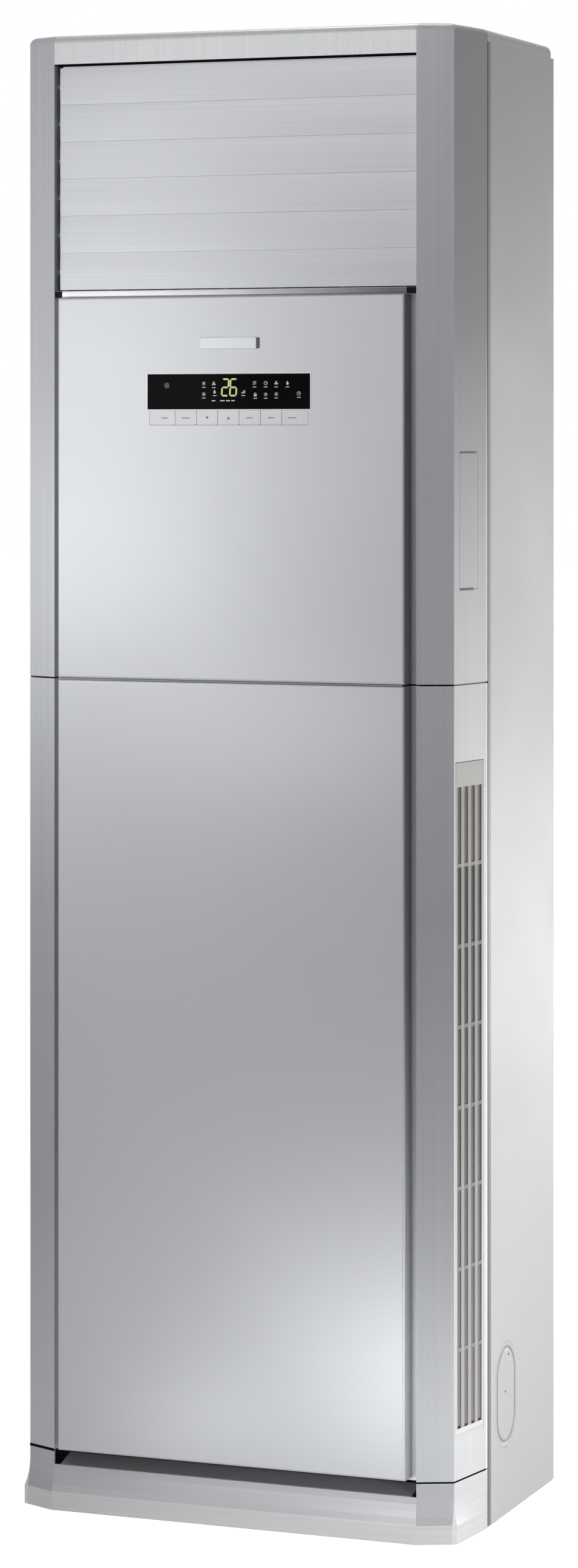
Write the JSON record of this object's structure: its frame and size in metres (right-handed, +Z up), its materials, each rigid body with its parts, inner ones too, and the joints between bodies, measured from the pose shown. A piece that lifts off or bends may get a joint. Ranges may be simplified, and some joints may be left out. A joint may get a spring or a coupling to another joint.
{
  "type": "floor standing air conditioner",
  "caption": "Tall floor standing air conditioner cabinet with a raised centre panel, tilting outlet louvres, swinging vanes, side intake grilles, display window and press keys.",
  "frame": {"origin": "on the floor, under the middle of the overall box", "axes": "+Z up, front faces -Y, +X to the right as seen from the front"},
  "size_m": [0.601, 0.393, 1.87],
  "materials": {
    "silver_panel": "silver metallic paint on moulded plastic",
    "cabinet_paint": "pale grey powder coat on sheet steel",
    "louvre_plastic": "pale silver moulded plastic",
    "plinth_plastic": "blue grey moulded plastic",
    "dark_window": "black tinted acrylic",
    "key_plastic": "white gloss plastic",
    "badge_metal": "bright plated plate",
    "board_green": "circuit board",
    "grille_plastic": "pale grey moulded plastic",
    "filter_plastic": "dark filter frame",
    "vane_plastic": "dark grey moulded plastic",
    "duct_plastic": "grey moulded plastic",
    "zinc_steel": "galvanised sheet steel",
    "screw_steel": "zinc plated steel",
    "wheel_plastic": "dark grey moulded plastic",
    "motor_paint": "black enamel",
    "pan_plastic": "white moulded plastic",
    "fin_aluminium": "thin bare fins",
    "copper": "bare copper tube",
    "link_plastic": "white moulded plastic"
  },
  "bodies": {
    "cabinet": {"base_pan": "zinc_steel", "base_skirt": "plinth_plastic", "back_panel": "cabinet_paint", "top_cover": "cabinet_paint", "case_screws": "screw_steel", "upper_front_frame": "silver_panel", "lower_front_frame": "silver_panel", "upper_centre_panel": "silver_panel", "lower_centre_panel": "silver_panel", "display_window": "dark_window", "display_board": "board_green", "badge_plate": "badge_metal", "side_panel_right": "cabinet_paint", "side_panel_left": "cabinet_paint", "pipe_cover_right": "cabinet_paint", "pipe_cover_left": "cabinet_paint", "side_cap_right": "silver_panel", "side_cap_left": "silver_panel", "outlet_duct": "duct_plastic", "stepper_motors": "screw_steel", "fan_scroll": "zinc_steel", "fan_motor": "motor_paint", "motor_bracket": "zinc_steel", "partition_deck": "zinc_steel", "drain_pan": "pan_plastic", "evaporator_fins": "fin_aluminium", "evaporator_tubes": "copper", "refrigerant_pipes": "copper", "control_box": "zinc_steel", "control_box_cover": "zinc_steel", "control_board": "board_green"},
    "key_1": {"key_1": "key_plastic"},
    "key_2": {"key_2": "key_plastic"},
    "key_3": {"key_3": "key_plastic"},
    "key_4": {"key_4": "key_plastic"},
    "key_5": {"key_5": "key_plastic"},
    "key_6": {"key_6": "key_plastic"},
    "key_7": {"key_7": "key_plastic"},
    "louvre_1": {"louvre_1": "louvre_plastic"},
    "vane_1": {"vane_1": "vane_plastic"},
    "louvre_2": {"louvre_2": "louvre_plastic"},
    "vane_2": {"vane_2": "vane_plastic"},
    "louvre_3": {"louvre_3": "louvre_plastic"},
    "vane_3": {"vane_3": "vane_plastic"},
    "louvre_4": {"louvre_4": "louvre_plastic"},
    "vane_4": {"vane_4": "vane_plastic"},
    "louvre_5": {"louvre_5": "louvre_plastic"},
    "vane_5": {"vane_5": "vane_plastic"},
    "louvre_6": {"louvre_6": "louvre_plastic"},
    "vane_6": {"vane_6": "vane_plastic"},
    "louvre_link": {"louvre_link": "link_plastic"},
    "vane_link": {"vane_link": "link_plastic"},
    "fan_rotor": {"fan_wheel": "wheel_plastic", "fan_shaft": "screw_steel"},
    "grille_right": {"intake_grille_right": "grille_plastic", "air_filter_right": "filter_plastic"},
    "grille_left": {"intake_grille_left": "grille_plastic", "air_filter_left": "filter_plastic"}
  },
  "joints": [
    {"name": "fan_spin", "type": "hinge", "parent": "cabinet", "child": "fan_rotor", "pos_m": [-0.025, 0.04, 0.52], "axis": [0, 1, 0], "continuous": true},
    {"name": "louvre_1_tilt", "type": "hinge", "parent": "cabinet", "child": "louvre_1", "pos_m": [0, -0.1653, 1.80547], "axis": [-1, 0, 0], "range_deg": [0, 80]},
    {"name": "louvre_2_tilt", "type": "hinge", "parent": "cabinet", "child": "louvre_2", "pos_m": [0, -0.1653, 1.75842], "axis": [-1, 0, 0], "range_deg": [0, 80]},
    {"name": "louvre_3_tilt", "type": "hinge", "parent": "cabinet", "child": "louvre_3", "pos_m": [0, -0.1653, 1.71138], "axis": [-1, 0, 0], "range_deg": [0, 80]},
    {"name": "louvre_4_tilt", "type": "hinge", "parent": "cabinet", "child": "louvre_4", "pos_m": [0, -0.1653, 1.66433], "axis": [-1, 0, 0], "range_deg": [0, 80]},
    {"name": "louvre_5_tilt", "type": "hinge", "parent": "cabinet", "child": "louvre_5", "pos_m": [0, -0.1653, 1.61728], "axis": [-1, 0, 0], "range_deg": [0, 80]},
    {"name": "louvre_6_tilt", "type": "hinge", "parent": "cabinet", "child": "louvre_6", "pos_m": [0, -0.1653, 1.57022], "axis": [-1, 0, 0], "range_deg": [0, 80]},
    {"name": "louvre_link_pivot", "type": "hinge", "parent": "louvre_1", "child": "louvre_link", "pos_m": [-0.24, -0.15457, 1.81447], "axis": [-1, 0, 0], "range_deg": [-80, 0]},
    {"name": "vane_1_swing", "type": "hinge", "parent": "cabinet", "child": "vane_1", "pos_m": [-0.2, -0.1033, 1.69], "axis": [0, 0, 1], "range_deg": [-35, 35]},
    {"name": "vane_2_swing", "type": "hinge", "parent": "cabinet", "child": "vane_2", "pos_m": [-0.12, -0.1033, 1.69], "axis": [0, 0, 1], "range_deg": [-35, 35]},
    {"name": "vane_3_swing", "type": "hinge", "parent": "cabinet", "child": "vane_3", "pos_m": [-0.04, -0.1033, 1.69], "axis": [0, 0, 1], "range_deg": [-35, 35]},
    {"name": "vane_4_swing", "type": "hinge", "parent": "cabinet", "child": "vane_4", "pos_m": [0.04, -0.1033, 1.69], "axis": [0, 0, 1], "range_deg": [-35, 35]},
    {"name": "vane_5_swing", "type": "hinge", "parent": "cabinet", "child": "vane_5", "pos_m": [0.12, -0.1033, 1.69], "axis": [0, 0, 1], "range_deg": [-35, 35]},
    {"name": "vane_6_swing", "type": "hinge", "parent": "cabinet", "child": "vane_6", "pos_m": [0.2, -0.1033, 1.69], "axis": [0, 0, 1], "range_deg": [-35, 35]},
    {"name": "vane_link_pivot", "type": "hinge", "parent": "vane_1", "child": "vane_link", "pos_m": [-0.2, -0.0833, 1.55275], "axis": [0, 0, 1], "range_deg": [-35, 35]},
    {"name": "key_1_press", "type": "slide", "parent": "cabinet", "child": "key_1", "axis": [0, 1, 0], "range_m": [0, 0.001], "stiffness_N_per_m": 400},
    {"name": "key_2_press", "type": "slide", "parent": "cabinet", "child": "key_2", "axis": [0, 1, 0], "range_m": [0, 0.001], "stiffness_N_per_m": 400},
    {"name": "key_3_press", "type": "slide", "parent": "cabinet", "child": "key_3", "axis": [0, 1, 0], "range_m": [0, 0.001], "stiffness_N_per_m": 400},
    {"name": "key_4_press", "type": "slide", "parent": "cabinet", "child": "key_4", "axis": [0, 1, 0], "range_m": [0, 0.001], "stiffness_N_per_m": 400},
    {"name": "key_5_press", "type": "slide", "parent": "cabinet", "child": "key_5", "axis": [0, 1, 0], "range_m": [0, 0.001], "stiffness_N_per_m": 400},
    {"name": "key_6_press", "type": "slide", "parent": "cabinet", "child": "key_6", "axis": [0, 1, 0], "range_m": [0, 0.001], "stiffness_N_per_m": 400},
    {"name": "key_7_press", "type": "slide", "parent": "cabinet", "child": "key_7", "axis": [0, 1, 0], "range_m": [0, 0.001], "stiffness_N_per_m": 400},
    {"name": "grille_right_tilt", "type": "hinge", "parent": "cabinet", "child": "grille_right", "pos_m": [0.2881, -0.12212, 0.1325], "axis": [0.171, 0.9853, 0], "range_deg": [0, 20]},
    {"name": "grille_left_tilt", "type": "hinge", "parent": "cabinet", "child": "grille_left", "pos_m": [-0.2881, -0.12212, 0.1325], "axis": [0.171, -0.9853, 0], "range_deg": [0, 20]}
  ],
  "couplings": [
    {"joint": "louvre_2_tilt", "follows": "louvre_1_tilt", "ratio": 1},
    {"joint": "louvre_3_tilt", "follows": "louvre_1_tilt", "ratio": 1},
    {"joint": "louvre_4_tilt", "follows": "louvre_1_tilt", "ratio": 1},
    {"joint": "louvre_5_tilt", "follows": "louvre_1_tilt", "ratio": 1},
    {"joint": "louvre_6_tilt", "follows": "louvre_1_tilt", "ratio": 1},
    {"joint": "louvre_link_pivot", "follows": "louvre_1_tilt", "ratio": -1},
    {"joint": "vane_2_swing", "follows": "vane_1_swing", "ratio": 1},
    {"joint": "vane_3_swing", "follows": "vane_1_swing", "ratio": 1},
    {"joint": "vane_4_swing", "follows": "vane_1_swing", "ratio": 1},
    {"joint": "vane_5_swing", "follows": "vane_1_swing", "ratio": 1},
    {"joint": "vane_6_swing", "follows": "vane_1_swing", "ratio": 1},
    {"joint": "vane_link_pivot", "follows": "vane_1_swing", "ratio": -1}
  ]
}
